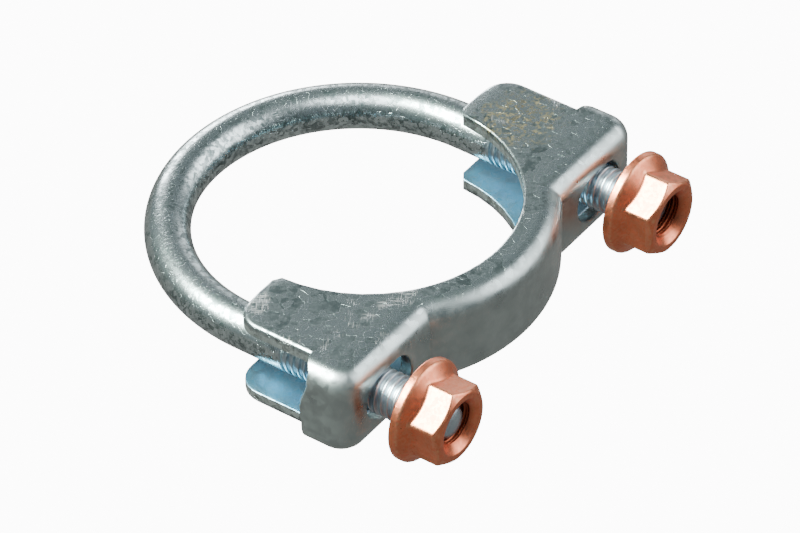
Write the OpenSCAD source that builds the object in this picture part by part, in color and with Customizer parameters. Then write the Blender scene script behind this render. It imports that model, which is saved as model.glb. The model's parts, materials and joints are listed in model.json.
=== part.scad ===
// Exhaust-pipe U-bolt clamp, loosely assembled.
// The pipe's axis is Z and the origin is the centre of the saddle's pipe seat.
// The legs run along Y, with the nuts on the -Y side.

/* [Pipe] */
// Diameter of the pipe that the saddle is cut for
pipe_d = 51; // [48:0.5:52]

/* [U-bolt] */
// Diameter of the round bar
bar_d = 7.9; // [7.4:0.1:8]
// Distance between the centre lines of the two legs
leg_spacing = 62.5; // [62:0.1:63]
// How far the centre of the bend lies past the centre of the pipe seat while the clamp is loose
bend_y = 2.8; // [0:0.1:6]
// How far the left leg reaches past the pipe seat's centre
left_reach = 39.5; // [37:0.1:42]
// How far the right leg reaches past the pipe seat's centre
right_reach = 37; // [36:0.1:42]
// Height of the cone on the end of each leg
lead_in = 1.1; // [0.4:0.1:2]

/* [Saddle] */
// Thickness of the pressed sheet
sheet_t = 2.4; // [2:0.1:3]
// Height of the channel over both flanges
channel_h = 16.4; // [15.4:0.1:17.6]
// Distance from the pipe's axis to the outside of the flat seats under the nuts
seat_y = 25.6; // [25:0.1:27]
// Radial depth of the channel behind the pipe seat
bulge_depth = 6.35; // [5:0.05:7]
// Half of the width over the flanges
flange_half = 38; // [37:0.1:39]
// Half of the width over the wrapped end walls
wall_half = 41.7; // [41:0.1:43]
// Distance from the pipe's axis to the free edge of the end walls
wall_edge_y = 16.6; // [12:0.1:19]
// Outer radius of the folds between the web and the flanges
fold_r = 3.4; // [2.8:0.1:4]
// Outer radius of the corners between the web and the end walls
corner_r = 4.6; // [4.2:0.1:6]
// Radius of the flanges' free corners
tip_r = 4.7; // [2:0.1:6]
// Width of the slots that the legs pass through
slot_w = 9; // [8.6:0.1:9.4]
// Distance from the middle of the saddle to the near end of each slot
slot_in = 23.8; // [22:0.1:26]
// Distance from the middle of the saddle to the far end of each slot
slot_out = 36.2; // [36:0.1:37]

/* [Nuts] */
// Distance across the flats of the hexagon
nut_af = 12.8; // [12:0.1:13]
// Height of a nut over its flange
nut_h = 8.2; // [7.5:0.1:9]
// Diameter of the flange
flange_d = 17.9; // [16:0.1:19]
// Height of the straight rim of the flange
rim_h = 1.5; // [1:0.1:2]
// Height of the cone between the rim and the hexagon
cone_h = 1.9; // [1:0.1:2.4]
// Radial clearance between a leg and a nut's bore
thread_gap = 0.05; // [0.02:0.01:0.1]
// Distance from the pipe's axis to the seating face of the left nut
left_nut_y = 32.3; // [31:0.1:33]
// Distance from the pipe's axis to the seating face of the right nut
right_nut_y = 31.3; // [30:0.1:32]
// Angle of one corner of the left nut's hexagon
left_turn = 38.7; // [0:0.1:60]
// Angle of one corner of the right nut's hexagon
right_turn = 31.4; // [0:0.1:60]

/* [Hidden] */
$fn = 96;
eps = 0.01;
leg_x = leg_spacing / 2;
pipe_r = pipe_d / 2;
half_h = channel_h / 2;
bulge_r = pipe_r + bulge_depth;
bulge_turn = acos(seat_y / bulge_r) + 6;   // runs past the line where the bulge meets a seat
neck_d = nut_af * 0.97;       // where the flange's cone would meet the hexagon's flats
crown_d = nut_af * 0.94;      // flat ring on top of a nut
crown_h = 0.9;                // height of the chamfer round the top of the hexagon
mouth_d = nut_af * 0.84;      // widest part of the countersink in the top
mouth_h = 1.3;
hex_turn = 38.7;              // corner of the hexagon before a nut is turned to its rest angle
zinc = [0.66, 0.69, 0.70];
copper = [0.80, 0.47, 0.36];

// Places its children with their +Z pointing along -Y, at depth y behind the pipe's axis.
module on_leg(x, y) { translate([x, -y, 0]) rotate([90, 0, 0]) children(); }

// One straight leg of the U-bolt, from the bend to its coned end.
module leg(x, reach) {
    on_leg(x, -bend_y) {
        cylinder(h = bend_y + reach - lead_in, d = bar_d);
        translate([0, 0, bend_y + reach - lead_in])
            cylinder(h = lead_in, d1 = bar_d, d2 = bar_d - 2 * lead_in);
    }
}

module u_bolt() color(zinc) {
    translate([0, bend_y, 0]) rotate_extrude(angle = 180) translate([leg_x, 0]) circle(d = bar_d);
    leg(-leg_x, left_reach);
    leg(leg_x, right_reach);
}

// Half-section of a solid channel: x runs out to the web, y is the height, and the outer corners are round.
module section(out, h, r) {
    translate([0, -h]) square([out - r, 2 * h]);
    translate([0, r - h]) square([out, 2 * (h - r)]);
    for (s = [-1, 1]) translate([out - r, s * (h - r)]) circle(r);
}

// A bar along X, and a sector about the pipe's axis, with the channel's section drawn in by inset.
module channel_bar(inset) {
    r = fold_r - inset;
    rotate([90, 0, -90]) linear_extrude(2 * wall_half + 2, center = true)
        section(seat_y - inset, half_h - inset, r);
    rotate_extrude(start = -90 - bulge_turn, angle = 2 * bulge_turn)
        section(bulge_r - inset, half_h - inset, r);
}

// Plan of the saddle's wide end, seen along the pipe, drawn in by inset.
module wide_plan(inset) {
    side = wall_half - inset;
    r = corner_r - inset;
    translate([-side, r - seat_y + inset]) square([2 * side, seat_y - inset - r - wall_edge_y]);
    translate([r - side, -bulge_r - 1]) square([2 * (side - r), bulge_r + 1 - wall_edge_y]);
    for (s = [-1, 1]) translate([s * (side - r), r - seat_y + inset]) circle(r);
}

// Plan of the flanges between the end walls and their free corners.
module flange_plan() {
    translate([-flange_half, -wall_edge_y - eps]) square([2 * flange_half, wall_edge_y - tip_r + eps]);
    translate([tip_r - flange_half, -wall_edge_y - eps]) square([2 * (flange_half - tip_r), wall_edge_y + eps]);
    for (s = [-1, 1]) translate([s * (flange_half - tip_r), -tip_r]) circle(tip_r);
}

// The saddle before it is hollowed, with no slots.
module saddle_blank() intersection() {
    channel_bar(0);
    linear_extrude(channel_h + 2, center = true) difference() {
        union() { wide_plan(0); flange_plan(); }
        circle(pipe_r, $fn = 180);
    }
}

// The space inside the channel, open to the pipe and to both sides.
module saddle_hollow() {
    intersection() {
        channel_bar(sheet_t);
        linear_extrude(channel_h, center = true) wide_plan(sheet_t);
    }
    translate([-wall_half - 1, -wall_edge_y, sheet_t - half_h])
        cube([2 * wall_half + 2, wall_edge_y + 1, channel_h - 2 * sheet_t]);
}

// One slot, as a cutter that passes through the web.
module slot() {
    r = slot_w / 2;
    on_leg(0, seat_y - 2 * sheet_t) linear_extrude(3 * sheet_t) {
        for (x = [slot_in + r, slot_out - r]) translate([x, 0]) circle(r);
        translate([slot_in + r, -r]) square([slot_out - slot_in - slot_w, slot_w]);
    }
}

module saddle() color(zinc) difference() {
    saddle_blank();
    saddle_hollow();
    for (s = [0, 1]) mirror([s, 0, 0]) slot();
}

// A one-piece hexagon nut with a coned flange. Its seating face is at z = 0.
module flange_nut(turn) rotate(turn - hex_turn) difference() {
    union() {
        cylinder(h = rim_h, d = flange_d);
        translate([0, 0, rim_h]) cylinder(h = cone_h, d1 = flange_d, d2 = neck_d);
        intersection() {
            rotate(hex_turn) cylinder(h = nut_h, d = nut_af / cos(30), $fn = 6);
            union() {
                cylinder(h = nut_h - crown_h, d = flange_d);
                translate([0, 0, nut_h - crown_h])
                    cylinder(h = crown_h, d1 = nut_af / cos(30), d2 = crown_d);
            }
        }
    }
    translate([0, 0, -1]) cylinder(h = nut_h + 2, d = bar_d + 2 * thread_gap);
    translate([0, 0, nut_h - mouth_h]) cylinder(h = mouth_h + eps, d1 = bar_d, d2 = mouth_d);
}

module nut_left() color(copper) on_leg(-leg_x, left_nut_y) flange_nut(left_turn);
module nut_right() color(copper) on_leg(leg_x, right_nut_y) flange_nut(right_turn);

u_bolt();
saddle();
nut_left();
nut_right();
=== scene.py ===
"""Looks of a loosely assembled exhaust-pipe U-bolt clamp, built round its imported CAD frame."""

import json
import logging
import math
from dataclasses import dataclass, field
from enum import Enum

import bmesh
import bpy
import numpy as np
from mathutils import Matrix, Vector


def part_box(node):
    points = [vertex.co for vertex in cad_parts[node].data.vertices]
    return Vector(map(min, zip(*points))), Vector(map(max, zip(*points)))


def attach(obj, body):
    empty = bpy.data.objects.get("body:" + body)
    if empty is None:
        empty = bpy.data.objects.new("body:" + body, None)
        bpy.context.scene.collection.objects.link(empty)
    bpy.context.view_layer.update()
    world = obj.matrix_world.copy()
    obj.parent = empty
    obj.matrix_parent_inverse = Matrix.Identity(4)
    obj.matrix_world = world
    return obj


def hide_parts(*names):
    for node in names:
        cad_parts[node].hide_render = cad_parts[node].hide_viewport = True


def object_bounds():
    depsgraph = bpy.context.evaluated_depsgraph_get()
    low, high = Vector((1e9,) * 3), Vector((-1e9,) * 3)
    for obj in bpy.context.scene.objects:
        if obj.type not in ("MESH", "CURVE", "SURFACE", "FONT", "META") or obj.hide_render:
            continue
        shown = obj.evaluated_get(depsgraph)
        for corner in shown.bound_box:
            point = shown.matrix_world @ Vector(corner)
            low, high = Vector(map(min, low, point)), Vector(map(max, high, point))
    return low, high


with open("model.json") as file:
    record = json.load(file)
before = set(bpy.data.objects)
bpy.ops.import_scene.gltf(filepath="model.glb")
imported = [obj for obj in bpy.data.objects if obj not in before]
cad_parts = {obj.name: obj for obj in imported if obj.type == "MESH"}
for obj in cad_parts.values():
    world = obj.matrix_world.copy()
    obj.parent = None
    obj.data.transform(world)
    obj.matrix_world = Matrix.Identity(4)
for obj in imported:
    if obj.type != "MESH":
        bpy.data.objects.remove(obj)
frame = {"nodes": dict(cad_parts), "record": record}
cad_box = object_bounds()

log = logging.getLogger("clamp")

MM = 0.001  # one millimetre in metres
QUARTER = math.pi / 2
SIXTH = math.pi / 3  # of a turn, from one corner of a hexagon to the next
Array = np.ndarray
Faces = list[tuple[int, ...]]
Color = tuple[float, float, float, float]
Material = bpy.types.Material
Socket = bpy.types.NodeSocket
Outputs = bpy.types.NodeOutputs
Tree = bpy.types.NodeTree


def rgb(red: float, green: float, blue: float) -> Color:
    """An opaque colour."""
    return (red, green, blue, 1.0)


def smoothstep(low: float, high: float, value: Array) -> Array:
    """Rise from 0 to 1 without a corner.

    Args:
        low: Value where the rise starts.
        high: Value where it ends.
        value: Values to map.

    Returns:
        The share of the rise at each value.
    """
    share = np.clip((value - low) / (high - low), 0.0, 1.0)
    return share * share * (3.0 - 2.0 * share)


def smooth_min(first: Array, second: Array, reach: float) -> Array:
    """The smaller of two values, with the corner between them rounded.

    Args:
        first: One set of values.
        second: The other set.
        reach: How far apart the values are where the rounding starts.

    Returns:
        The rounded minimum.
    """
    share = np.clip(0.5 + 0.5 * (second - first) / reach, 0.0, 1.0)
    return second * (1.0 - share) + first * share - reach * share * (1.0 - share)


def smooth_max(first: Array, second: Array, reach: float) -> Array:
    """The larger of two values, with the corner between them filled."""
    return -smooth_min(-first, -second, reach)


def pair(first: Array | float, second: Array | float) -> Array:
    """Rows of two coordinates, either of which may be the same in every row."""
    return np.stack(np.broadcast_arrays(first, second), -1)


def with_mirror(half: Array) -> Array:
    """The left half of a line in plan and its mirror image, which share the last point."""
    return np.vstack([half, half[-2::-1] * np.array([-1.0, 1.0])])


def run_along(points: Array) -> Array:
    """Distance along a line to each of its points."""
    return np.concatenate([[0], np.cumsum(np.linalg.norm(np.diff(points, axis=0), axis=1))])


# ---- meshes


class Mark(Enum):
    """Names of the point values that the finishes read."""

    EDGE = "edge"
    THREAD = "thread"
    DEPTH = "depth"
    FORMED = "formed"
    HOLLOW = "hollow"


@dataclass
class Skin:
    """Points in millimetres and faces of one closed mesh, with the marks its finish reads."""

    points: Array
    faces: Faces
    marks: dict[Mark, Array] = field(default_factory=dict)


def quads(first: Array, second: Array, third: Array, fourth: Array) -> Faces:
    """Faces from four grids of point numbers, one grid for each corner."""
    return [tuple(q) for q in np.stack([first, second, third, fourth], -1).reshape(-1, 4).tolist()]


def ring_faces(rings: int, count: int, close_rings: bool = False) -> Faces:
    """Quads between neighbouring closed rings.

    Args:
        rings: Number of rings.
        count: Points in a ring.
        close_rings: Whether the last ring joins the first.

    Returns:
        Faces as tuples of point numbers.
    """
    row = np.arange(rings if close_rings else rings - 1)[:, None]
    col = np.arange(count)[None, :]
    here, there, after = row * count, ((row + 1) % rings) * count, (col + 1) % count
    return quads(here + col, here + after, there + after, there + col)


def store_mark(mesh: bpy.types.Mesh, mark: Mark, values: Array) -> None:
    """Write one value for each point of a mesh."""
    layer = mesh.attributes.get(mark.value) or mesh.attributes.new(mark.value, "FLOAT", "POINT")
    layer.data.foreach_set("value", np.asarray(values, np.float32))


def make_piece(name: str, skin: Skin) -> bpy.types.Object:
    """Turn a skin into a smooth-shaded object in the scene.

    Args:
        name: Name of the piece.
        skin: Its points, faces and marks.

    Returns:
        The new object.
    """
    mesh = bpy.data.meshes.new(name)
    mesh.from_pydata((skin.points * MM).tolist(), [], skin.faces)
    for mark, values in skin.marks.items():
        store_mark(mesh, mark, values)
    work = bmesh.new()
    work.from_mesh(mesh)
    bmesh.ops.recalc_face_normals(work, faces=work.faces)
    work.to_mesh(mesh)
    work.free()
    mesh.shade_smooth()
    piece = bpy.data.objects.new(name, mesh)
    bpy.context.scene.collection.objects.link(piece)
    return piece


def mesh_points(mesh: bpy.types.Mesh) -> Array:
    """Read the points of a mesh.

    Args:
        mesh: Mesh to read.

    Returns:
        Points in millimetres, one to a row.
    """
    flat = np.empty(len(mesh.vertices) * 3, np.float64)
    mesh.vertices.foreach_get("co", flat)
    return flat.reshape(-1, 3) / MM


def node_size(node: str) -> tuple[Vector, Vector, Array]:
    """Low corner, high corner and points of a CAD node, in millimetres."""
    low, high = (Vector(corner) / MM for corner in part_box(node))
    return low, high, mesh_points(frame["nodes"][node].data)


def put_in_frame(piece: bpy.types.Object, node: str, material: Material) -> None:
    """Dress a piece and let it stand for a CAD node.

    Args:
        piece: Object to dress.
        node: Node it replaces, which is also the name of its body.
        material: Finish of the whole piece.
    """
    piece.data.materials.clear()
    piece.data.materials.append(material)
    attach(piece, node)
    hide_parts(node)
    log.info("%s: %d points stand for %s", piece.name, len(piece.data.vertices), node)


# ---- thread


@dataclass(frozen=True)
class Thread:
    """A right-hand metric thread along Y, whose phase is shared by the legs and the nuts."""

    pitch: float = 1.25
    depth: float = 0.58
    play: float = 0.07  # radial clearance between a leg and a nut
    root: float = 0.16  # share of half a pitch that is flat at the root
    crest: float = 0.80  # and where the flat crest starts
    steps: int = 20  # rings in a pitch

    def height(self, along: Array, turn: Array) -> Array:
        """Height of the thread over its root.

        Args:
            along: Distance along Y in millimetres.
            turn: Angle about +Y from +Z in radians.

        Returns:
            The share of the full depth at each point.
        """
        phase = (along / self.pitch - turn / (2 * math.pi)) % 1.0
        return smoothstep(self.root, self.crest, 1.0 - np.abs(2.0 * phase - 1.0))

    def rows(self, first: float, last: float) -> Array:
        """Even steps that are fine enough to draw the thread."""
        return np.linspace(first, last, max(2, int(abs(last - first) / self.pitch * self.steps)))


# ---- U-bolt


@dataclass
class UBolt:
    """A round bar bent to a U, with rolled threads on both legs and a domed tip on each."""

    bar_r: float
    leg_x: float
    bend_y: float
    left_end: float
    right_end: float
    thread: Thread
    thread_left: float = -7.0  # where the left leg's thread starts
    thread_right: float = -4.2
    run_out: float = 1.6
    lead_in: float = 1.1  # how much smaller a tip is than the bar
    cone_slope: float = 1.15
    cone_blend: float = 0.12  # rounding between the cone and the thread
    tip_dome: float = 1.15
    tip_start: float = 0.08  # radians from the middle of a tip to the first ring of its dome
    dome_gap: float = 0.05  # from the dome to the first threaded ring
    plain_gap: float = 0.6  # from the last threaded ring to the first plain one
    bend_gap: float = 0.8  # from the last plain ring to the bend
    inset: float = 0.02  # keeps the skin inside the CAD solid
    around: int = 96
    dome_rings: int = 16
    plain_rings: int = 10
    bend_rings: int = 121

    @classmethod
    def from_frame(cls, thread: Thread) -> "UBolt":
        """Read the sizes off the CAD node.

        Args:
            thread: The shared thread.

        Returns:
            The U-bolt.
        """
        low, high, points = node_size("u_bolt")
        leg_x = high.x - high.z
        left, right = (points[side * points[:, 0] > 0][:, 1].min() for side in (-1, 1))
        return cls(bar_r=high.z, leg_x=leg_x, bend_y=high.y - leg_x - high.z, left_end=left,
                   right_end=right, thread=thread)

    def leg_rows(self, end: float, start: float) -> Array:
        """Places of the rings on one leg, from its tip to the bend.

        Args:
            end: Y of the tip.
            start: Y where the thread starts.

        Returns:
            Y of each ring, rising.
        """
        dome = end + self.tip_dome * (1 - np.cos(np.linspace(self.tip_start, QUARTER, self.dome_rings)))
        threaded = self.thread.rows(end + self.tip_dome + self.dome_gap, start + self.run_out)
        plain = np.linspace(start + self.run_out + self.plain_gap, self.bend_y - self.bend_gap,
                            self.plain_rings)
        return np.concatenate([dome, threaded, plain])

    def leg_radius(self, y: Array, turn: Array, end: float, start: float) -> Array:
        """Radius of a threaded leg.

        Args:
            y: Distance along Y, one row to a ring.
            turn: Angle about the leg, one column to a point.
            end: Y of the tip.
            start: Y where the thread starts.

        Returns:
            Radius at each row and column.
        """
        fade = 1 - smoothstep(start - self.run_out, start + self.run_out * 0.5, y)
        radius = self.bar_r - self.inset - self.thread.depth * fade * (1 - self.thread.height(y, turn))
        from_tip = y - end
        tip_r = self.bar_r - self.lead_in
        cone = tip_r + np.maximum(from_tip - self.tip_dome, 0) * self.cone_slope
        dome = tip_r * np.sqrt(np.clip(1 - (1 - from_tip / self.tip_dome) ** 2, 0, 1))
        limit = np.where(from_tip < self.tip_dome, dome, cone)
        return np.minimum(radius, smooth_min(radius, limit + 0 * radius, self.cone_blend))

    def leg(self, side: int, end: float, start: float, turn: Array) -> tuple[Array, Array, Array, Array]:
        """Rings of one leg, from its tip to the bend.

        Args:
            side: -1 for the left leg and 1 for the right one.
            end: Y of the tip.
            start: Y where the thread starts.
            turn: Angle about the leg of each point in a ring.

        Returns:
            Centres, directions across the bar, radii and thread marks.
        """
        rows = self.leg_rows(end, start)
        y = rows[:, None]
        centre = np.stack([np.full(len(rows), side * self.leg_x), rows, 0 * rows], -1)
        across = np.tile([-side, 0.0, 0.0], (len(rows), 1))
        worked = (1 - smoothstep(start - 1, start + 1, y)) + 0 * turn
        return centre, across, self.leg_radius(y, -side * turn, end, start), worked

    def skin(self) -> Skin:
        """Build the whole bar as one closed skin.

        Returns:
            The skin, with its threads marked.
        """
        turn = np.linspace(0, 2 * math.pi, self.around, endpoint=False)[None, :]
        left = self.leg(-1, self.left_end, self.thread_left, turn)
        right = self.leg(1, self.right_end, self.thread_right, turn)
        arc = np.linspace(math.pi, 0, self.bend_rings)
        spoke = np.stack([np.cos(arc), np.sin(arc), 0 * arc], -1)
        plain = np.zeros((self.bend_rings, self.around))
        bend = (np.array([0, self.bend_y, 0]) + self.leg_x * spoke, -spoke,
                plain + (self.bar_r - self.inset), plain)
        centre, across, radius, worked = (np.vstack([first, middle, last[::-1]])
                                          for first, middle, last in zip(left, bend, right))
        up = np.array([0.0, 0.0, 1.0])
        sweep = across[:, None, :] * np.sin(turn)[..., None] + up * np.cos(turn)[..., None]
        points = (centre[:, None, :] + radius[..., None] * sweep).reshape(-1, 3)
        tips = np.array([[-self.leg_x, self.left_end, 0], [self.leg_x, self.right_end, 0]])
        faces = ring_faces(len(centre), self.around)
        sides = [(k, (k + 1) % self.around) for k in range(self.around)]
        last = len(points) - self.around
        faces += [(len(points), after, k) for k, after in sides]
        faces += [(len(points) + 1, last + k, last + after) for k, after in sides]
        return Skin(np.vstack([points, tips]), faces, {Mark.THREAD: np.append(worked.ravel(), [1, 1])})

    def build(self, material: Material) -> None:
        """Make the bar and put it in the frame."""
        put_in_frame(make_piece("bar", self.skin()), "u_bolt", material)


# ---- saddle


@dataclass
class Saddle:
    """A channel pressed from sheet, hollowed for the pipe and wrapped at both ends."""

    pipe_r: float
    bulge_r: float
    seat_y: float
    half_h: float
    wall_x: float
    flange_x: float
    sheet: float = 2.4
    fold_r: float = 3.4
    corner_r: float = 4.6
    tip_r: float = 4.7
    nose_r: float = 0.3
    crease_r: float = 0.5
    free_y: float = 16.0  # where a flange's side turns into the free edge of an end wall
    dip: float = 1.6  # how far the free edge draws back beside the upper fold, in an S shape
    low_dip: float = 0.4  # and beside the lower fold
    dip_reach: int = 13  # points along the web over which this fades
    side_roll: float = 0.75  # roll-over of the sheared edge along a flange's side
    seat_roll: float = 0.35  # and along the pipe seat
    burr: float = 0.12  # sharp rest of the sheared edge on the inner face
    crown: float = 0.35  # bulge of the sheared end of a wall
    slot_w: float = 9.0
    slot_in: float = 23.8
    slot_out: float = 36.2
    slot_chamfer: float = 0.25
    step: float = 0.55  # rough distance between points along the web
    seat_run: float = 18.0  # rough length of the flat seat beside the bulge
    seat_start: float = 1.2  # degrees of the pipe seat that a nose takes up
    facing: tuple[float, ...] = (0.45, 0.67, 0.79)  # shares of the seat's run that face the ends of
    # a flange's side, its rounded tip and its nose
    crease_facing: float = 0.56  # share of the pipe seat that faces the crease
    wrap_facing: float = 2.0  # length of a flange's side that faces a wrapped corner
    flat_rows: int = 10  # rows across a flange, round a fold and down half the web
    fold_rows: int = 12
    web_rows: int = 13
    sharp: float = 38.0  # angle in degrees from which an edge is drawn sharp

    @classmethod
    def from_frame(cls, leg_x: float) -> "Saddle":
        """Read the sizes off the CAD node and the record's mount.

        Args:
            leg_x: Distance of a leg from the middle, which is past the bulge.

        Returns:
            The saddle.
        """
        low, high, points = node_size("saddle")
        beside = points[np.abs(points[:, 0]) > leg_x]
        upper = points[points[:, 1] > -high.x / 4]
        return cls(pipe_r=frame["record"]["mounts"][0]["dims"]["r_mm"], bulge_r=-low.y,
                   seat_y=-beside[:, 1].min(), half_h=high.z, wall_x=high.x,
                   flange_x=np.abs(upper[:, 0]).max())

    def outline(self) -> tuple[Array, Array]:
        """Outer line of the web in plan, from the left wall's free edge to the right one's.

        Returns:
            Points in plan, and the direction into the sheet at each.
        """
        crease_x = math.sqrt((self.bulge_r + self.crease_r) ** 2 - (self.seat_y + self.crease_r) ** 2)
        crease = np.array([-crease_x, -self.seat_y - self.crease_r])
        lean = math.atan2(crease_x, -crease[1])  # of the bulge where it meets the seat
        wall = np.linspace(-self.free_y, self.corner_r - self.seat_y, 14)[:-1]
        turn = np.linspace(0, QUARTER, 17)
        seat = np.linspace(self.corner_r - self.wall_x, -crease_x, int(self.seat_run / self.step))[1:-1]
        bend = np.linspace(0, lean, 10)
        sweep = np.linspace(lean, 0, int(self.bulge_r * lean / self.step))[1:]
        corner = np.array([self.corner_r - self.wall_x, self.corner_r - self.seat_y])
        at_corner = pair(np.cos(turn), np.sin(turn))
        at_crease, at_bulge = (pair(np.sin(angle), np.cos(angle)) for angle in (bend, sweep))
        points = np.vstack([
            pair(-self.wall_x, wall), corner - self.corner_r * at_corner, pair(seat, -self.seat_y),
            crease + self.crease_r * at_crease, -self.bulge_r * at_bulge])
        inward = np.vstack([
            pair(1.0, 0 * wall), at_corner, pair(0 * seat, 1.0), at_crease, at_bulge])
        return with_mirror(points), with_mirror(inward)

    def free_edge(self) -> tuple[Array, Array, Array]:
        """Left half of a flange's free edge in plan, from its side to the middle of the pipe seat.

        Returns:
            Points, outward directions and the roll-over of the sheared edge at each.
        """
        side = np.linspace(-self.free_y, -self.tip_r, 24)
        turn = np.linspace(0, QUARTER, 17)[1:]
        top = np.linspace(self.tip_r - self.flange_x, -self.pipe_r - self.nose_r, 12)[1:]
        nose = np.linspace(0, QUARTER, 7)[1:]
        sweep = np.linspace(math.radians(self.seat_start), QUARTER, 90)
        corner = np.array([self.tip_r - self.flange_x, -self.tip_r])
        nose_centre = np.array([-self.pipe_r - self.nose_r, -self.nose_r])
        at_tip, at_nose = pair(-np.cos(turn), np.sin(turn)), pair(np.sin(nose), np.cos(nose))
        at_seat = pair(np.cos(sweep), np.sin(sweep))
        points = np.vstack([
            pair(-self.flange_x, side), corner + self.tip_r * at_tip, pair(top, 0.0),
            nose_centre + self.nose_r * at_nose, -self.pipe_r * at_seat])
        outward = np.vstack([pair(-1.0, 0 * side), at_tip, pair(0 * top, 1.0), at_nose, at_seat])
        along_side = len(side) + len(turn)
        return points, outward, np.repeat([self.side_roll, self.seat_roll],
                                          [along_side, len(points) - along_side])

    def paired_edge(self, outline: Array) -> tuple[Array, Array, Array]:
        """The free-edge point that each outline point is joined to across a flange.

        Args:
            outline: Points of the web's outer line in plan.

        Returns:
            Points, outward directions and roll-overs, one for each outline point.
        """
        points, outward, roll = self.free_edge()
        half = outline[:len(outline) // 2 + 1]
        run, edge_run = run_along(half), run_along(points)
        side = self.free_y - self.tip_r
        tip = side + self.tip_r * QUARTER
        nose = tip + self.flange_x - self.tip_r - self.pipe_r
        corner = self.seat_y - self.corner_r - self.free_y + self.corner_r * QUARTER
        crease = run[np.argmin(np.abs(half[:, 0] + math.sqrt(self.bulge_r**2 - self.seat_y**2)))]
        facing = [corner + share * (crease - corner) for share in self.facing]
        keys = [0, corner, *facing, crease, run[-1]]
        on_seat = nose + self.crease_facing * (edge_run[-1] - nose)
        edge_keys = [0, self.wrap_facing, side, tip, nose, on_seat, edge_run[-1]]
        at = np.interp(run, keys, edge_keys)
        mapped, normal = (pair(*(np.interp(at, edge_run, line[:, k]) for k in (0, 1)))
                          for line in (points, outward))
        normal /= np.linalg.norm(normal, axis=1)[:, None]
        rolled = np.interp(at, edge_run, roll) * smoothstep(-self.nose_r, self.wrap_facing, run)
        return with_mirror(mapped), with_mirror(normal), np.concatenate([rolled, rolled[-2::-1]])

    def half_section(self, depth: float, dip: float, plan: Array, inward: Array, edge: Array) -> Array:
        """Upper half of one face of the sheet, from the free edge to the middle of the web.

        Args:
            depth: Depth of the face under the outside of the sheet.
            dip: How far the free edge of an end wall draws back beside the fold.
            plan: Outline points in plan.
            inward: Direction into the sheet at each.
            edge: Where the flat of the flange starts, beside the free edge.

        Returns:
            Points as an array of outline point, row and coordinate.
        """
        radius = self.fold_r - depth
        count = len(plan)
        share = np.linspace(0, 1, self.flat_rows)[None, :, None]
        fold_line = plan + inward * self.fold_r
        flat = edge[:, None, :] * (1 - share) + fold_line[:, None, :] * share
        flat = np.concatenate([flat, np.full((count, share.size, 1), self.half_h - depth)], -1)
        angle = np.linspace(0, QUARTER, self.fold_rows)[None, 1:]
        reach = self.fold_r - radius * np.sin(angle)
        fold = plan[:, None, :] + inward[:, None, :] * reach[..., None]
        height = self.half_h - self.fold_r + radius * np.cos(angle) + np.zeros((count, 1))
        fold = np.concatenate([fold, height[..., None]], -1)
        down = np.linspace(self.half_h - self.fold_r, 0, self.web_rows)[None, 1:]
        web = np.repeat((plan + inward * depth)[:, None, :], down.size, axis=1)
        web = np.concatenate([web, (down + np.zeros((count, 1)))[..., None]], -1)
        drawn = dip * self.draw_back(angle[0], down[0])
        near = np.arange(count)
        fade = 1 - smoothstep(0, self.dip_reach, np.minimum(near, count - 1 - near).astype(float))
        pressed = np.concatenate([fold, web], 1)
        pressed[..., 1] -= fade[:, None] * drawn
        return np.concatenate([flat, pressed], 1)

    def draw_back(self, angle: Array, height: Array) -> Array:
        """How far the free edge of an end wall is drawn back, which makes its S shape.

        Args:
            angle: Angles round the fold, from the flange to the web.
            height: Heights down the web, from the fold to the middle.

        Returns:
            Share of the full dip at each angle and then at each height.
        """
        swing = 0.5 - 0.5 * np.cos(math.pi * height / (self.half_h - self.fold_r))
        return np.concatenate([smoothstep(0, math.pi / 3, angle), 0.2 + 0.8 * swing])

    def sheared(self, edge: Array, outward: Array, roll: Array) -> Array:
        """Rows down the sheared edge of the upper flange, between its two faces.

        Args:
            edge: Points of the free edge in plan.
            outward: Outward direction at each.
            roll: Roll-over at each.

        Returns:
            Points as an array of outline point, row and coordinate.
        """
        angles = np.linspace(0, QUARTER, 5)[1:]
        rows = [(roll * (1 - math.sin(a)), roll * (1 - math.cos(a))) for a in angles]
        rows += [(0 * roll, roll + (self.sheet - roll - self.burr) * share) for share in (0.5, 1.0)]
        return np.stack([np.column_stack([edge - outward * inset[:, None], self.half_h - fall])
                         for inset, fall in rows], 1)

    def skin(self) -> Skin:
        """Build the pressed sheet, with no slots, as one closed skin.

        Returns:
            The skin.
        """
        plan, inward = self.outline()
        edge, outward, roll = self.paired_edge(plan)
        burr = np.minimum(self.burr, roll)
        upper, lower = (
            [self.half_section(depth, dip, plan, inward, edge - outward * back[:, None])
             for depth, back in ((0.0, roll), (self.sheet, burr))]
            for dip in (self.dip, self.low_dip))
        cut = self.sheared(edge, outward, roll)
        flip = np.array([1.0, 1.0, -1.0])
        outer, inner = (np.concatenate([above, below[:, -2::-1] * flip], 1)
                        for above, below in zip(upper, lower))
        ring = np.concatenate([outer, cut * flip, inner[:, ::-1], cut[:, ::-1]], 1)
        rings, count = ring.shape[:2]
        skin = Skin(ring.reshape(-1, 3), ring_faces(rings, count))
        for first in (0, (rings - 1) * count):
            self.close_end(skin, first, outer.shape[1], cut.shape[1], count)
        return skin

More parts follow.
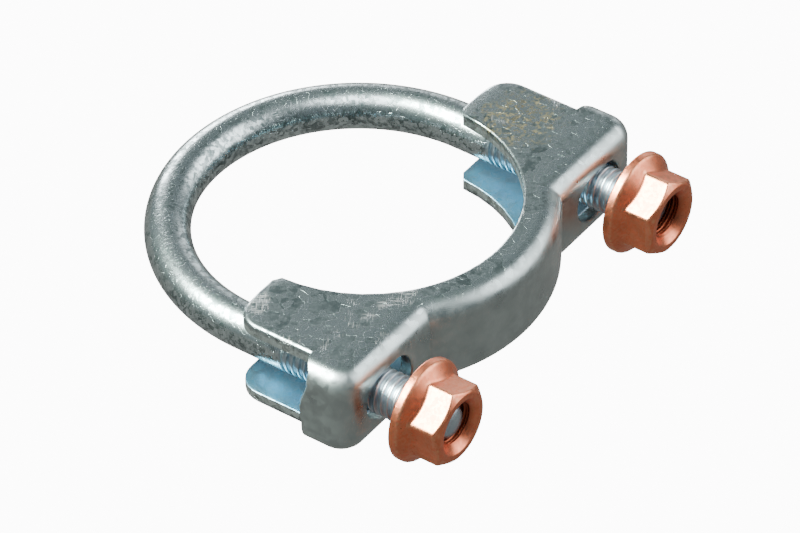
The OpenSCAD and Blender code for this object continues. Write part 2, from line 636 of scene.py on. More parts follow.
    def close_end(self, skin: Skin, first: int, rows: int, steps: int, count: int) -> None:
        """Close one end of the sheet with a sheared edge.

        Args:
            skin: Skin to close.
            first: Number of the end ring's first point.
            rows: Rows on each face of the sheet.
            steps: Rows down a sheared edge.
            count: Points in a ring.
        """
        numbers = np.empty((steps + 2, rows), int)
        numbers[0] = first + np.arange(rows)
        numbers[-1] = (first + rows + steps + np.arange(rows))[::-1]
        share = np.linspace(0, 1, steps + 2)[1:-1]
        swell = self.crown * np.sqrt(np.clip(1 - (2 * share - 1) ** 4, 0, 1))
        outer, inner = skin.points[numbers[0]], skin.points[numbers[-1]]
        grid = outer[None] * (1 - share[:, None, None]) + inner[None] * share[:, None, None]
        grid[..., 1] += swell[:, None]
        inside = grid[:, 1:-1]
        numbers[1:-1, 1:-1] = len(skin.points) + np.arange(inside[..., 0].size).reshape(steps, rows - 2)
        numbers[1:-1, 0] = first + count - 1 - np.arange(steps)
        numbers[1:-1, -1] = first + rows + np.arange(steps)
        skin.faces += quads(numbers[:-1, :-1], numbers[:-1, 1:], numbers[1:, 1:], numbers[1:, :-1])
        skin.points = np.vstack([skin.points, inside.reshape(-1, 3)])

    def slot_cutter(self, side: int) -> bpy.types.Object:
        """Make the obround cutter of one slot, which chamfers both faces of the sheet.

        Args:
            side: -1 for the left slot and 1 for the right one.

        Returns:
            The cutter as an object.
        """
        past, half = 0.5, 24  # how far it stands out of the sheet, and points round one end
        chamfer, radius = self.slot_chamfer, self.slot_w / 2
        inner_face = self.sheet - self.seat_y
        layers = [(-self.seat_y - past, chamfer + past), (-self.seat_y + chamfer, 0.0),
                  (inner_face - chamfer, 0.0), (inner_face + past, chamfer + past)]
        angle = np.linspace(0, math.pi, half)
        points = []
        for y, grow in layers:
            for centre, start in ((self.slot_out - radius, -QUARTER), (self.slot_in + radius, QUARTER)):
                x = centre + (radius + grow) * np.cos(angle + start)
                z = (radius + grow) * np.sin(angle + start)
                points.append(np.stack([side * x, np.full(half, y), z], -1))
        count = 2 * half
        faces = ring_faces(len(layers), count)
        faces += [tuple(range(count)), tuple(range((len(layers) - 1) * count, len(layers) * count))]
        return make_piece("slot_cutter", Skin(np.vstack(points), faces))

    def depth_marks(self, points: Array) -> dict[Mark, Array]:
        """Depth of each point under the sheet's outside, and how much the press formed it.

        Args:
            points: Points of the finished mesh in millimetres.

        Returns:
            Depth as a share of the sheet, and forming from 0 on a flange to 1 on the web.
        """
        plan, _ = self.outline()
        start, step = plan[:-1], np.diff(plan, axis=0)
        length = np.maximum((step**2).sum(1), 1e-12)
        beside = np.empty(len(points))
        batch = 4000  # points at a time, to spare memory
        for first in range(0, len(points), batch):
            here = points[first:first + batch, None, :2] - start[None]
            share = np.clip((here * step).sum(-1) / length, 0, 1)
            beside[first:first + batch] = np.linalg.norm(here - share[..., None] * step, axis=-1).min(1)
        below = self.half_h - np.abs(points[:, 2])
        a, b = self.fold_r - below, self.fold_r - beside
        depth = np.where((a > 0) & (b > 0), self.fold_r - np.hypot(a, b), np.minimum(below, beside))
        return {Mark.DEPTH: np.clip(depth / self.sheet, 0, 1),
                Mark.FORMED: smoothstep(0, self.fold_r, b + np.clip(depth, 0, self.sheet))}

    def build(self, material: Material) -> None:
        """Make the saddle, cut its slots and put it in the frame.

        Args:
            material: Zinc finish of the sheet.
        """
        piece = make_piece("channel", self.skin())
        cutters = [self.slot_cutter(side) for side in (-1, 1)]
        for cutter in cutters:
            cut = piece.modifiers.new(cutter.name, "BOOLEAN")
            cut.operation, cut.solver, cut.object = "DIFFERENCE", "EXACT", cutter
        done = piece.evaluated_get(bpy.context.evaluated_depsgraph_get())
        mesh = bpy.data.meshes.new_from_object(done)
        piece.modifiers.clear()
        piece.data = mesh
        for cutter in cutters:
            bpy.data.objects.remove(cutter)
        for mark, values in self.depth_marks(mesh_points(mesh)).items():
            store_mark(mesh, mark, values)
        mesh.shade_smooth()
        mesh.set_sharp_from_angle(angle=math.radians(self.sharp))
        put_in_frame(piece, "saddle", material)


# ---- nuts


@dataclass
class FlangeNut:
    """A hexagon nut with a coned flange, a countersunk mouth and a threaded bore."""

    name: str
    centre_x: float
    seat_y: float
    height: float
    flange_r: float
    corner_turn: float  # angle of one corner of the hexagon from +X towards +Z, in degrees
    thread: Thread
    bar_r: float
    across_flats: float = 12.8
    corner_blend: float = 0.45  # rounding of the hexagon's corners
    rim_h: float = 1.5
    cone_h: float = 1.9
    cone_rise: float = 0.06
    neck: float = 0.97  # radius where the cone ends, as a share of the hexagon's
    cone_top: float = 1.5  # depth under the crown from which the flange is left out
    flange_blend: float = 0.5
    crown_h: float = 0.9
    crown_r: float = 6.0
    crown_blend: float = 0.35
    mouth_r: float = 5.0
    mouth_slope: float = 1.15
    foot_chamfer: float = 0.4
    mouth_blend: float = 0.12
    foot_blend: float = 0.1
    edge_r: float = 0.32
    inset: float = 0.02  # keeps the bore as wide as the CAD solid's
    columns: int = 180
    face_rings: int = 4  # rings across each flat end
    side_rings: int = 130
    corner_rub_and_glint: float = 0.4  # width of the pale rubbed edge and painted highlight on a corner, a shoulder and the rim
    shoulder_rub_and_glint: float = 0.12
    rim_rub_and_glint: float = 0.22

    @classmethod
    def from_frame(cls, node: str, corner_turn: float, thread: Thread, bar_r: float) -> "FlangeNut":
        """Read the sizes off a CAD node.

        Args:
            node: Name of the node.
            corner_turn: Angle of one corner of the hexagon in degrees.
            thread: The shared thread.
            bar_r: Radius of the bar.

        Returns:
            The nut.
        """
        low, high, _ = node_size(node)
        return cls(name=node, centre_x=(low.x + high.x) / 2, seat_y=-high.y, height=high.y - low.y,
                   flange_r=high.z, corner_turn=corner_turn, thread=thread, bar_r=bar_r)

    def off_corner(self, from_corner: Array) -> Array:
        """Angle to the nearest corner of the hexagon."""
        return np.abs((from_corner + SIXTH / 2) % SIXTH - SIXTH / 2)

    def hexagon(self, from_corner: Array) -> Array:
        """Radius of the hexagon with softened corners.

        Args:
            from_corner: Angle from a corner in radians.

        Returns:
            Radius at each angle.
        """
        off = self.off_corner(from_corner)
        near, far = (self.across_flats / 2 / np.cos(SIXTH / 2 + side * off) for side in (-1, 1))
        return smooth_min(near, far, self.corner_blend)

    def outside(self, z: Array, from_corner: Array) -> Array:
        """Outer radius at a height over the seating face.

        Args:
            z: Height, one row to a ring.
            from_corner: Angle from a corner, one column to a point.

        Returns:
            Radius at each row and column.
        """
        top = self.across_flats / math.sqrt(3)
        chamfer = self.crown_r + (self.height - z) / self.crown_h * (top - self.crown_r)
        prism = smooth_min(self.hexagon(from_corner), chamfer + 0 * from_corner, self.crown_blend)
        slope = (self.flange_r - self.across_flats / 2 * self.neck) / self.cone_h
        cone = self.flange_r + self.cone_rise - (z - self.rim_h) * slope
        rim = smooth_min(np.full_like(cone, self.flange_r), cone, self.flange_blend)
        foot = np.clip(self.edge_r - z, 0, self.edge_r)
        rim = rim - self.edge_r + np.sqrt(np.maximum(self.edge_r**2 - foot**2, 0))
        flange = np.where(z > self.height - self.cone_top, 0, rim) + 0 * from_corner
        return np.minimum(smooth_max(flange, prism, self.flange_blend), self.flange_r)

    def inside(self, z: Array, turn: Array) -> Array:
        """Radius of the threaded bore and its countersinks.

        Args:
            z: Height over the seating face, one row to a ring.
            turn: Angle about +Y from +Z, one column to a point.

        Returns:
            Radius at each row and column.
        """
        cut = self.thread.depth * (1 - self.thread.height(-self.seat_y - z, turn))
        bore = self.bar_r + self.thread.play - self.inset - cut
        mouth = self.mouth_r - (self.height - z) * self.mouth_slope + 0 * turn
        foot = self.bar_r + self.foot_chamfer - z + 0 * turn
        return smooth_max(smooth_max(bore, mouth, self.mouth_blend), foot, self.foot_blend)

    def skin(self) -> Skin:
        """Build the nut as one closed skin.

        Returns:
            The skin, with its edges and its bore marked.
        """
        from_corner = np.linspace(0, 2 * math.pi, self.columns, endpoint=False)[None, :]
        angle = math.radians(self.corner_turn) + from_corner
        rounded = self.edge_r * (1 - np.cos(np.linspace(0.2, QUARTER, 6)))
        z_out = np.append(rounded, np.linspace(self.edge_r, self.height, self.side_rings)[1:])[:, None]
        z_in = self.thread.rows(self.height, 0.0)[:, None]
        out_r = self.outside(z_out, from_corner)
        in_r = self.inside(z_in, QUARTER - angle)
        share = np.linspace(0, 1, self.face_rings + 2)[1:-1, None]
        top_r = out_r[-1] * (1 - share) + in_r[0] * share
        foot_r = in_r[-1] * (1 - share) + out_r[0] * share
        radius = np.vstack([out_r, top_r, in_r, foot_r])
        z = np.vstack([z_out, self.height + 0 * share, z_in, 0 * share])
        points = np.stack([self.centre_x + radius * np.cos(angle), -self.seat_y - z + 0 * radius,
                           radius * np.sin(angle)], -1).reshape(-1, 3)
        marks = {Mark.EDGE: self.edges(z, radius, from_corner).ravel(),
                 Mark.HOLLOW: self.hollow(z, radius, len(z_out) + self.face_rings, len(z_in)).ravel()}
        return Skin(points, ring_faces(len(radius), self.columns, close_rings=True), marks)

    def edges(self, z: Array, radius: Array, from_corner: Array) -> Array:
        """How close each point is to an edge that is painted pale, partly as rubbing and partly as a
        painted highlight.

        Args:
            z: Height of each ring.
            radius: Radius of each point.
            from_corner: Angle of each point from a corner.

        Returns:
            1 on an edge, falling to 0 beside it.
        """
        on_hexagon = (z > self.rim_h + self.cone_h * 0.5) * (radius > self.crown_r)
        off = self.off_corner(from_corner) * self.across_flats / 2
        corner = np.exp(-((off / self.corner_rub_and_glint) ** 2)) * on_hexagon
        under = (self.hexagon(from_corner) - radius) / self.shoulder_rub_and_glint  # cut in by the crown
        shoulder = np.exp(-((under - 1) ** 2)) * (z > self.height - self.crown_h * 1.4)
        rim = np.exp(-(((z - self.rim_h) / self.rim_rub_and_glint) ** 2)) * (radius > self.flange_r - 0.6)
        return np.clip(corner + shoulder * (radius > self.crown_r) + rim, 0, 1)

    def hollow(self, z: Array, radius: Array, first: int, count: int) -> Array:
        """How deep each point lies in the bore, which sets how much painted shade it gets.

        Args:
            z: Height of each ring.
            radius: Radius of each point.
            first: First ring of the bore.
            count: Rings in the bore.

        Returns:
            0 outside and in the mouth, rising to 1 in the threads.
        """
        inside = np.zeros((len(radius), 1))
        inside[first:first + count] = 1
        return inside * smoothstep(0.2, 1.5, self.height - z) + 0 * radius

    def build(self, material: Material) -> None:
        """Make the nut and put it in the frame."""
        put_in_frame(make_piece(self.name + "_plated", self.skin()), self.name, material)


# ---- finishes


class Graph:
    """A node tree with short calls that add nodes and join them."""

    def __init__(self, tree: Tree) -> None:
        """Hold the tree and empty it."""
        self.tree = tree
        tree.nodes.clear()

    def add(self, kind: str, sockets: dict | None = None, **settings: object) -> bpy.types.Node:
        """Add a node.

        Args:
            kind: Blender's name of the node type.
            sockets: Inputs by name or number, each a value or another node's output.
            **settings: Attributes of the node.

        Returns:
            The node.
        """
        node = self.tree.nodes.new(kind)
        for name, value in settings.items():
            setattr(node, name, value)
        for key, value in (sockets or {}).items():
            if isinstance(value, Socket):
                self.tree.links.new(value, node.inputs[key])
            else:
                node.inputs[key].default_value = value
        return node

    def use(self, effect: Tree, **values: object) -> Outputs:
        """Outputs of a shared effect, placed with its own input values."""
        return self.add("ShaderNodeGroup", values, node_tree=effect).outputs

    def give(self, **values: Socket) -> Tree:
        """End an effect by giving out its results."""
        self.add("NodeGroupOutput", values)
        return self.tree

    def math(self, kind: str, *values: object) -> Socket:
        """Result of a Math node on one to three values."""
        return self.add("ShaderNodeMath", dict(enumerate(values)), operation=kind).outputs[0]

    def times(self, first: object, second: object) -> Socket:
        """Product of two values."""
        return self.math("MULTIPLY", first, second)

    def plus(self, first: object, second: object) -> Socket:
        """Sum of two values."""
        return self.math("ADD", first, second)

    def rest(self, share: object) -> Socket:
        """What is left of 1 after a share."""
        return self.math("SUBTRACT", 1.0, share)

    def weigh(self, first: Socket, weight: float, second: Socket, other: float) -> Socket:
        """Sum of two values, each times its own weight."""
        return self.plus(self.times(first, weight), self.times(second, other))

    def rise(self, value: object, low: object, high: object) -> Socket:
        """Smooth rise from 0 to 1 while a value goes from low to high."""
        limits = {"Value": value, "From Min": low, "From Max": high}
        return self.add("ShaderNodeMapRange", limits, interpolation_type="SMOOTHSTEP").outputs["Result"]

    def between(self, share: object, low: float, high: float) -> Socket:
        """Value between two numbers."""
        limits = {"Value": share, "To Min": low, "To Max": high}
        return self.add("ShaderNodeMapRange", limits).outputs["Result"]

    def mix(self, share: object, first: object, second: object, blend: str = "MIX") -> Socket:
        """Mix of two colours."""
        colors = {0: share, 6: first, 7: second}
        return self.add("ShaderNodeMix", colors, data_type="RGBA", blend_type=blend).outputs[2]

    def lay(self, color: object, over: object, mask: Socket, share: float) -> Socket:
        """One colour laid over another, by a share of a mask."""
        return self.mix(self.times(mask, share), color, over)

    def noise(self, place: object, detail: float = 3.0, rough: float = 0.6) -> Socket:
        """Noise of unit size at a place."""
        looks = {"Vector": place, "Scale": 1.0, "Detail": detail, "Roughness": rough}
        return self.add("ShaderNodeTexNoise", looks).outputs["Fac"]

    def vector(self, kind: str, sockets: dict) -> Outputs:
        """Outputs of a Vector Math node."""
        return self.add("ShaderNodeVectorMath", sockets, operation=kind).outputs

    def scaled(self, place: object, factor: object) -> Socket:
        """A vector times a number."""
        return self.vector("SCALE", {0: place, 3: factor})[0]

    def grained(self, place: Socket, grain: Socket) -> Socket:
        """A place measured in grains."""
        return self.scaled(place, self.math("DIVIDE", 1.0, grain))

    def mark(self, mark: Mark) -> Socket:
        """Value of a mark at the shaded point."""
        return self.add("ShaderNodeAttribute", attribute_name=mark.value).outputs["Fac"]

    def millimetres(self) -> Socket:
        """Place of the shaded point on its piece in millimetres."""
        return self.scaled(self.add("ShaderNodeTexCoord").outputs["Object"], 1 / MM)

    def by_ray(self, shown: bpy.types.Node, lit: bpy.types.Node) -> Socket:
        """One shader for the camera and another for all other rays."""
        both = {0: self.add("ShaderNodeLightPath").outputs["Is Camera Ray"],
                1: lit.outputs[0], 2: shown.outputs[0]}
        return self.add("ShaderNodeMixShader", both).outputs[0]


class Effects:
    """Shader node groups that the finishes share, each built once."""

    def __init__(self) -> None:
        """Build every group."""
        self.crystals = self.make_crystals()
        self.scratches = self.make_scratches()
        self.patch = self.make_patch()
        self.rub_and_glint = self.make_rub_and_glint()

    @staticmethod
    def group(name: str, outputs: tuple[str, ...], **inputs: float) -> tuple[Graph, Outputs]:
        """Start a node group that reads a place and some numbers.

        Args:
            name: Name of the group.
            outputs: Names of the number outputs.
            **inputs: Default value of each number input.

        Returns:
            The group's graph and what its inputs give.
        """
        tree = bpy.data.node_groups.new(name, "ShaderNodeTree")
        tree.interface.new_socket(name="Place", in_out="INPUT", socket_type="NodeSocketVector")
        for key, value in inputs.items():
            socket = tree.interface.new_socket(name=key, in_out="INPUT", socket_type="NodeSocketFloat")
            socket.default_value = value
        for key in outputs:
            tree.interface.new_socket(name=key, in_out="OUTPUT", socket_type="NodeSocketFloat")
        graph = Graph(tree)
        return graph, graph.add("NodeGroupInput").outputs

    def make_crystals(self) -> Tree:
        """Flecks and clouds of a plated surface.

        Returns:
            The group, which gives Fleck, Cloud and Height.
        """
        graph, given = self.group("plating_crystals", ("Fleck", "Cloud", "Height"), Grain=0.6)
        place = graph.grained(given["Place"], given["Grain"])
        fine = graph.noise(place, 3.0, 0.7)
        cells = graph.add("ShaderNodeTexVoronoi", {"Vector": place, "Scale": 0.8, "Randomness": 1.0},
                          feature="F1").outputs["Color"]
        flake = graph.add("ShaderNodeSeparateColor", {0: cells}).outputs[0]
        blend = graph.weigh(fine, 0.66, flake, 0.34)
        coarse = graph.noise(graph.scaled(place, 0.16), 3.0, 0.55)
        return graph.give(Fleck=graph.rise(blend, 0.32, 0.68), Cloud=graph.rise(coarse, 0.35, 0.65),
                          Height=blend)

    def make_scratches(self) -> Tree:
        """Short straight scratches that run one way, in scattered patches.

        Returns:
            The group, which gives a Mask.
        """
        graph, given = self.group("short_scratches", ("Mask",),
                                  Turn=0.0, Length=4.0, Width=0.18, Amount=0.3)
        turned = graph.add("ShaderNodeVectorRotate", {"Vector": given["Place"], "Angle": given["Turn"]},
                           rotation_type="Z_AXIS").outputs[0]
        sizes = {"X": "Length", "Y": "Width", "Z": "Width"}
        stretch = graph.add("ShaderNodeCombineXYZ", {
            axis: graph.math("DIVIDE", 1.0, given[key]) for axis, key in sizes.items()}).outputs[0]
        lines = graph.noise(graph.vector("MULTIPLY", {0: turned, 1: stretch})[0], 1.0, 0.5)
        where = graph.noise(graph.scaled(given["Place"], 0.17), 2.0, 0.5)
        limit = graph.between(given["Amount"], 0.72, 0.38)
        patches = graph.rise(where, limit, graph.plus(limit, 0.08))
        return graph.give(Mask=graph.times(graph.rise(lines, 0.57, 0.66), patches))

    def make_patch(self) -> Tree:
        """A ragged patch round a point.

        Returns:
            The group, which gives a Mask.
        """
        graph, given = self.group("ragged_patch", ("Mask",), X=0.0, Y=0.0, Z=0.0, Radius=5.0, Ragged=3.0)
        centre = graph.add("ShaderNodeCombineXYZ", {key: given[key] for key in "XYZ"}).outputs[0]
        away = graph.vector("DISTANCE", {0: given["Place"], 1: centre})["Value"]
        torn = graph.math("SUBTRACT", graph.noise(graph.scaled(given["Place"], 0.9), 5.0, 0.7), 0.5)
        away = graph.plus(away, graph.times(torn, given["Ragged"]))
        inner = graph.times(given["Radius"], 0.35)
        return graph.give(Mask=graph.rest(graph.rise(away, inner, given["Radius"])))

    def make_rub_and_glint(self) -> Tree:
        """Broken pale marks along an edge, partly rubbing and partly a painted highlight.

        Returns:
            The group, which gives a Mask.
        """
        graph, given = self.group("edge_rub_and_glint", ("Mask",), Edge=0.0, Grain=0.5)
        broken = graph.rise(graph.noise(graph.grained(given["Place"], given["Grain"])), 0.34, 0.62)
        return graph.give(Mask=graph.times(given["Edge"], broken))


def start_material(name: str) -> tuple[Material, Graph]:
    """Make an empty material.

    Args:
        name: Name of the material.

    Returns:
        The material and its graph.
    """
    material = bpy.data.materials.new(name)
    material.use_nodes = True
    return material, Graph(material.node_tree)


def finish_metal(graph: Graph, color: Socket, roughness: Socket, height: Socket, relief: float) -> None:
    """End a metal's graph in its shader.

    Args:
        graph: Graph of the material.
        color: Base colour.
        roughness: Roughness over the surface.
        height: Height over the surface, from 0 to 1.
        relief: Height of 1 in millimetres.
    """
    bump = graph.add("ShaderNodeBump", {"Height": height, "Strength": 1.0, "Distance": relief * MM})
    shader = graph.add("ShaderNodeBsdfPrincipled", {
        "Base Color": color, "Metallic": 1.0, "Roughness": roughness, "Normal": bump.outputs[0]})
    graph.add("ShaderNodeOutputMaterial", {"Surface": shader.outputs[0]})


@dataclass(frozen=True)
class BarZinc:
    """Bright zinc on the bar: speckled on the plain bar, smooth and bluish on the threads."""

    dark: Color = rgb(0.13, 0.17, 0.175)
    light: Color = rgb(0.74, 0.86, 0.88)
    thread: Color = rgb(0.42, 0.51, 0.58)
    dark_roughness: float = 0.34
    light_roughness: float = 0.19
    thread_roughness: float = 0.33
    thread_relief: float = 0.03  # share of the relief that rolling leaves on the threads
    grain: float = 0.55
    relief: float = 0.030

    def build(self, effects: Effects) -> Material:
        """Make the material.

        Args:
            effects: The shared node groups.

        Returns:
            The material.
        """
        material, graph = start_material("zinc_bar")
        place = graph.millimetres()
        crystals = graph.use(effects.crystals, Place=place, Grain=self.grain)
        scratches = graph.use(effects.scratches, Place=place,
                              Turn=0.6, Length=3.0, Width=0.16, Amount=0.35)
        mottle = graph.weigh(crystals["Fleck"], 0.75, crystals["Cloud"], 0.25)
        color = graph.mix(mottle, self.dark, self.light)
        color = graph.mix(scratches["Mask"], color, self.light)
        thread = graph.mark(Mark.THREAD)
        color = graph.mix(thread, color, graph.lay(self.thread, self.light, crystals["Cloud"], 0.25))
        rough = graph.between(mottle, self.dark_roughness, self.light_roughness)
        change = graph.math("SUBTRACT", self.thread_roughness, rough)
        rough = graph.plus(rough, graph.times(thread, change))
        height = graph.times(crystals["Height"], graph.between(thread, 1.0, self.thread_relief))
        finish_metal(graph, color, rough, height, self.relief)
        return material


@dataclass(frozen=True)
class SheetZinc:
    """Bright zinc on the pressed sheet: mottled flats, polished folds, blue hollows and painted shade
    deep in the channel.
    """

    dark: Color = rgb(0.095, 0.125, 0.13)
    light: Color = rgb(0.62, 0.73, 0.745)
    polished: Color = rgb(0.58, 0.665, 0.66)
    scratch: Color = rgb(0.92, 0.95, 0.93)
    hollow: Color = rgb(0.08, 0.25, 0.38)
    # painted shade for the inside of the channel, towards its bottom
    painted_shade: Color = rgb(0.07, 0.085, 0.09)
    sheared: Color = rgb(0.22, 0.24, 0.24)
    stain: Color = rgb(0.74, 0.66, 0.38)
    rust: Color = rgb(0.30, 0.10, 0.05)
    dark_roughness: float = 0.36
    light_roughness: float = 0.22
    grain: float = 1.15
    relief: float = 0.045
    calm_relief: float = 0.05  # share of the relief left on pressed and inner faces
    inner_face: tuple[float, float] = (0.9, 0.98)  # depths in the sheet over which it starts
    cut_face: tuple[float, float] = (0.22, 0.5)
    stain_r: float = 9.0
    stain_in: float = 8.0  # from the flange's side to the middle of the stain
    stain_y: float = -9.5
    spot_r: float = 0.8

    def build(self, effects: Effects, saddle: Saddle) -> Material:
        """Make the material.

        Args:
            effects: The shared node groups.
            saddle: Sizes of the sheet, which place its marks.

        Returns:
            The material.
        """
        material, graph = start_material("zinc_sheet")
        place = graph.millimetres()
        crystals = graph.use(effects.crystals, Place=place, Grain=self.grain)
        fleck, cloud = crystals["Fleck"], crystals["Cloud"]
        formed, depth = graph.mark(Mark.FORMED), graph.mark(Mark.DEPTH)
        inner = graph.rise(depth, *self.inner_face)
        cut = graph.times(graph.rise(depth, *self.cut_face), graph.rest(inner))
        # flats
        mottle = graph.weigh(fleck, 0.7, cloud, 0.3)
        color = graph.mix(mottle, self.dark, self.light)
        along = graph.use(effects.scratches, Place=place, Turn=-0.55, Length=2.6, Width=0.2, Amount=0.42)
        across = graph.use(effects.scratches, Place=place, Turn=0.95, Length=3.4, Width=0.17, Amount=0.3)
        scratch = graph.times(graph.math("MAXIMUM", along["Mask"], across["Mask"]), graph.rest(formed))
        color = graph.lay(color, self.scratch, scratch, 0.8)
        stain = graph.use(effects.patch, Place=place, X=saddle.flange_x - self.stain_in, Y=self.stain_y,
                          Z=saddle.half_h, Radius=self.stain_r, Ragged=self.stain_r)
        crust = graph.rise(graph.noise(graph.scaled(place, 1.3), 4.0, 0.65), 0.47, 0.62)
        color = graph.lay(color, self.stain, graph.times(stain["Mask"], crust), 0.9)
        # folds, web and end walls
        smooth = graph.mix(graph.weigh(fleck, 0.25, cloud, 0.25), self.polished, self.dark)
        color = graph.lay(color, smooth, formed, 0.8)
        # inside of the channel, with painted shade darkening it towards its bottom
        pale = graph.lay(self.hollow, self.polished, mottle, 0.2)
        along_y = graph.add("ShaderNodeSeparateXYZ", {0: place}).outputs["Y"]
        deep = graph.rise(along_y, -saddle.free_y, -saddle.seat_y + saddle.sheet)
        color = graph.mix(inner, color, graph.lay(pale, self.painted_shade, deep, 0.75))
        # sheared edges, and a rust spot on the right corner
        color = graph.lay(color, graph.mix(fleck, self.sheared, self.polished), cut, 0.8)
        spot = graph.use(effects.patch, Place=place, X=saddle.wall_x - 0.6, Z=saddle.half_h * 0.49,
                         Y=saddle.corner_r * 0.5 - saddle.seat_y, Radius=self.spot_r, Ragged=self.spot_r)
        color = graph.lay(color, self.rust, spot["Mask"], 0.8)
        rough = graph.between(mottle, self.dark_roughness, self.light_roughness)
        for area, rougher in ((formed, 0.05), (inner, 0.12), (cut, 0.15)):
            rough = graph.plus(rough, graph.times(area, rougher))
        surface = graph.math("SUBTRACT", crystals["Height"], graph.times(scratch, 0.3))
        calm = graph.between(graph.math("MAXIMUM", formed, inner), 1.0, self.calm_relief)
        finish_metal(graph, color, rough, graph.times(surface, calm), self.relief)
        return material


@dataclass(frozen=True)
class Copper:
    """Satin copper plating, pale on edges partly from rubbing and partly as a painted highlight, and
    brown with painted shade in the bore.
    """

    base: Color = rgb(0.86, 0.25, 0.13)
    pale: Color = rgb(0.93, 0.46, 0.27)
    brown: Color = rgb(0.26, 0.06, 0.03)
    dark_roughness: float = 0.38
    light_roughness: float = 0.28
    grain: float = 0.45
    rub_and_glint_grain: float = 0.7
    relief: float = 0.008

    def build(self, effects: Effects) -> Material:
        """Make the material.

        Args:
            effects: The shared node groups.

        Returns:
            The material.
        """
        material, graph = start_material("copper_plate")
        place = graph.millimetres()
        crystals = graph.use(effects.crystals, Place=place, Grain=self.grain)
        # pale edges: partly rubbed plating, partly painted highlight
        rub_and_glint = graph.use(effects.rub_and_glint, Place=place, Edge=graph.mark(Mark.EDGE), Grain=self.rub_and_glint_grain)
        specks = graph.rise(graph.noise(graph.scaled(place, 3.1), 1.0, 0.5), 0.70, 0.76)
        color: object = self.base
        for over, mask, share in (
                (self.pale, crystals["Fleck"], 0.22), (self.brown, crystals["Cloud"], 0.16),
                (self.brown, specks, 0.5), (self.pale, rub_and_glint["Mask"], 0.65),
                # painted shade: brown laid on deeper into the bore
                (self.brown, graph.mark(Mark.HOLLOW), 0.85)):
            color = graph.lay(color, over, mask, share)
        rough = graph.between(crystals["Fleck"], self.dark_roughness, self.light_roughness)
        finish_metal(graph, color, rough, crystals["Height"], self.relief)
        return material


# ---- studio


@dataclass(frozen=True)
class Softbox:
    """A soft bright area of the studio's walls, by direction."""

    azimuth: float  # degrees from +X towards +Y
    elevation: float
    spread: float  # half angle in degrees
    strength: float
    color: Color = rgb(1.0, 1.0, 1.0)

    def direction(self) -> Vector:
        """Unit vector towards the softbox."""
        a, e = math.radians(self.azimuth), math.radians(self.elevation)
        return Vector((math.cos(a) * math.cos(e), math.sin(a) * math.cos(e), math.sin(e)))


@dataclass(frozen=True)
class Viewpoint:
    """The camera's place, as a direction round the object and a slide in its own plane."""

    azimuth: float = -54.13
    elevation: float = 40.43
    roll: float = -0.62
    lens: float = 267.4
    sensor: float = 36.0
    distance: float = 984.3 * MM
    slide_right: float = 5.04 * MM
    slide_up: float = -6.02 * MM
    nearest: float = 0.01  # metres from the camera that it sees
    furthest: float = 20.0

    def build(self) -> None:
        """Make the camera and give it to the scene."""
        a, e, r = (math.radians(v) for v in (self.azimuth, self.elevation, self.roll))
        back = Vector((math.sin(a) * math.cos(e), -math.cos(a) * math.cos(e), math.sin(e)))
        level = Vector((math.cos(a), math.sin(a), 0.0))
        rise = back.cross(level)
        right = math.cos(r) * level + math.sin(r) * rise
        up = math.cos(r) * rise - math.sin(r) * level
        data = bpy.data.cameras.new("camera")
        data.sensor_width, data.lens = self.sensor, self.lens
        data.clip_start, data.clip_end = self.nearest, self.furthest
        camera = bpy.data.objects.new("camera", data)
        bpy.context.scene.collection.objects.link(camera)
        camera.matrix_world = Matrix((right, up, back)).transposed().to_4x4()
        camera.location = back * self.distance + right * self.slide_right + up * self.slide_up
        bpy.context.scene.camera = camera


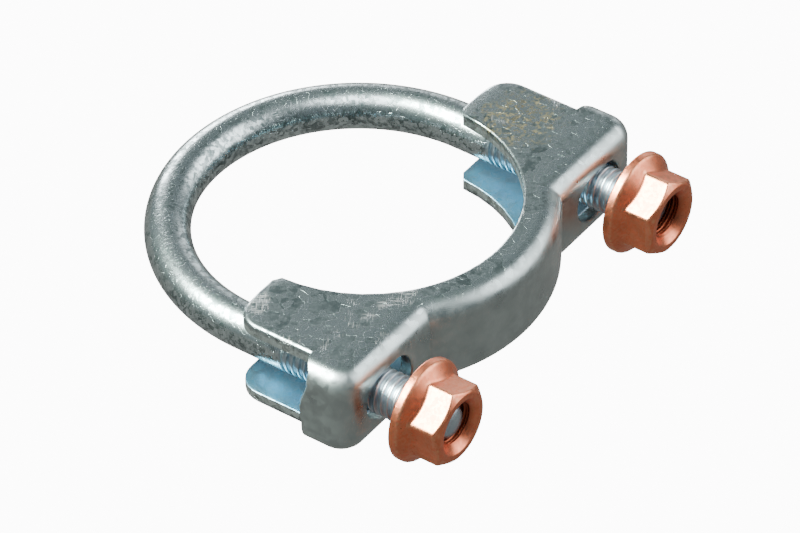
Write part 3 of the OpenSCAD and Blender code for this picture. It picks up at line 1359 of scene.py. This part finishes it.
@dataclass(frozen=True)
class Studio:
    """A plain white ground for the camera, and soft light from the walls for everything else."""

    softboxes: tuple[Softbox, ...] = (
        Softbox(-46, 30, 27, 4.0),
        Softbox(131, 53, 17, 80.0, rgb(0.90, 1.0, 0.90)),
        Softbox(24, 4, 22, 1.2),
        Softbox(52, 12, 12, 12.0),
        Softbox(200, 70, 20, 5.0),
    )
    ambient: Color = rgb(0.15, 0.17, 0.18)
    white: Color = rgb(1.0, 1.0, 1.0)
    shown: float = 12.0  # brightness of the white ground that the camera sees
    floor_size: float = 3.0
    floor_gap: float = 0.0002
    floor_color: Color = rgb(0.27, 0.265, 0.25)  # even glow that the object is lit by from below
    core: float = 0.6  # share of a softbox's spread that is fully bright
    fringe: float = 1.25  # and where its glow ends

    def build_world(self) -> None:
        """Light the scene from a world with soft bright areas."""
        world = bpy.data.worlds.new("studio")
        bpy.context.scene.world = world
        world.use_nodes = True
        graph = Graph(world.node_tree)
        toward = graph.add("ShaderNodeTexCoord").outputs["Generated"]
        color: object = self.ambient
        for box in self.softboxes:
            facing = graph.vector("DOT_PRODUCT", {0: toward, 1: box.direction()})["Value"]
            outer, inner = (math.cos(math.radians(box.spread * k)) for k in (self.fringe, self.core))
            glow = graph.times(graph.rise(facing, outer, inner), box.strength)
            color = graph.mix(1.0, color, graph.scaled(box.color[:3], glow), "ADD")
        soft = graph.add("ShaderNodeBackground", {"Color": color})
        white = graph.add("ShaderNodeBackground", {"Color": self.white, "Strength": self.shown})
        graph.add("ShaderNodeOutputWorld", {"Surface": graph.by_ray(white, soft)})

    def build_floor(self, lowest: float) -> None:
        """Lay the floor just under the object.

        Args:
            lowest: Height of the object's lowest point in metres.
        """
        half = self.floor_size / 2
        mesh = bpy.data.meshes.new("floor")
        corners = [(-half, -half, 0), (half, -half, 0), (half, half, 0), (-half, half, 0)]
        mesh.from_pydata(corners, [], [(0, 1, 2, 3)])
        floor = bpy.data.objects.new("floor", mesh)
        floor.location.z = lowest - self.floor_gap
        bpy.context.scene.collection.objects.link(floor)
        material, graph = start_material("floor_white")
        soft, white = (graph.add("ShaderNodeEmission", {"Color": color, "Strength": strength})
                       for color, strength in ((self.floor_color, 1.0), (self.white, self.shown)))
        graph.add("ShaderNodeOutputMaterial", {"Surface": graph.by_ray(white, soft)})
        mesh.materials.append(material)


def main() -> None:
    """Build the camera, the studio and the four pieces."""
    logging.basicConfig(level=logging.INFO, format="%(name)s: %(message)s")
    Viewpoint().build()
    studio = Studio()
    studio.build_world()
    studio.build_floor(cad_box[0].z)
    effects = Effects()
    thread = Thread()
    bolt = UBolt.from_frame(thread)
    saddle = Saddle.from_frame(bolt.leg_x)
    copper = Copper().build(effects)
    bolt.build(BarZinc().build(effects))
    saddle.build(SheetZinc().build(effects, saddle))
    nut_turns = {"nut_left": 38.7, "nut_right": 31.4}  # degrees, one corner from +X towards +Z
    for node, corner_turn in nut_turns.items():
        FlangeNut.from_frame(node, corner_turn, thread, bolt.bar_r).build(copper)


if __name__ == "__main__":
    main()
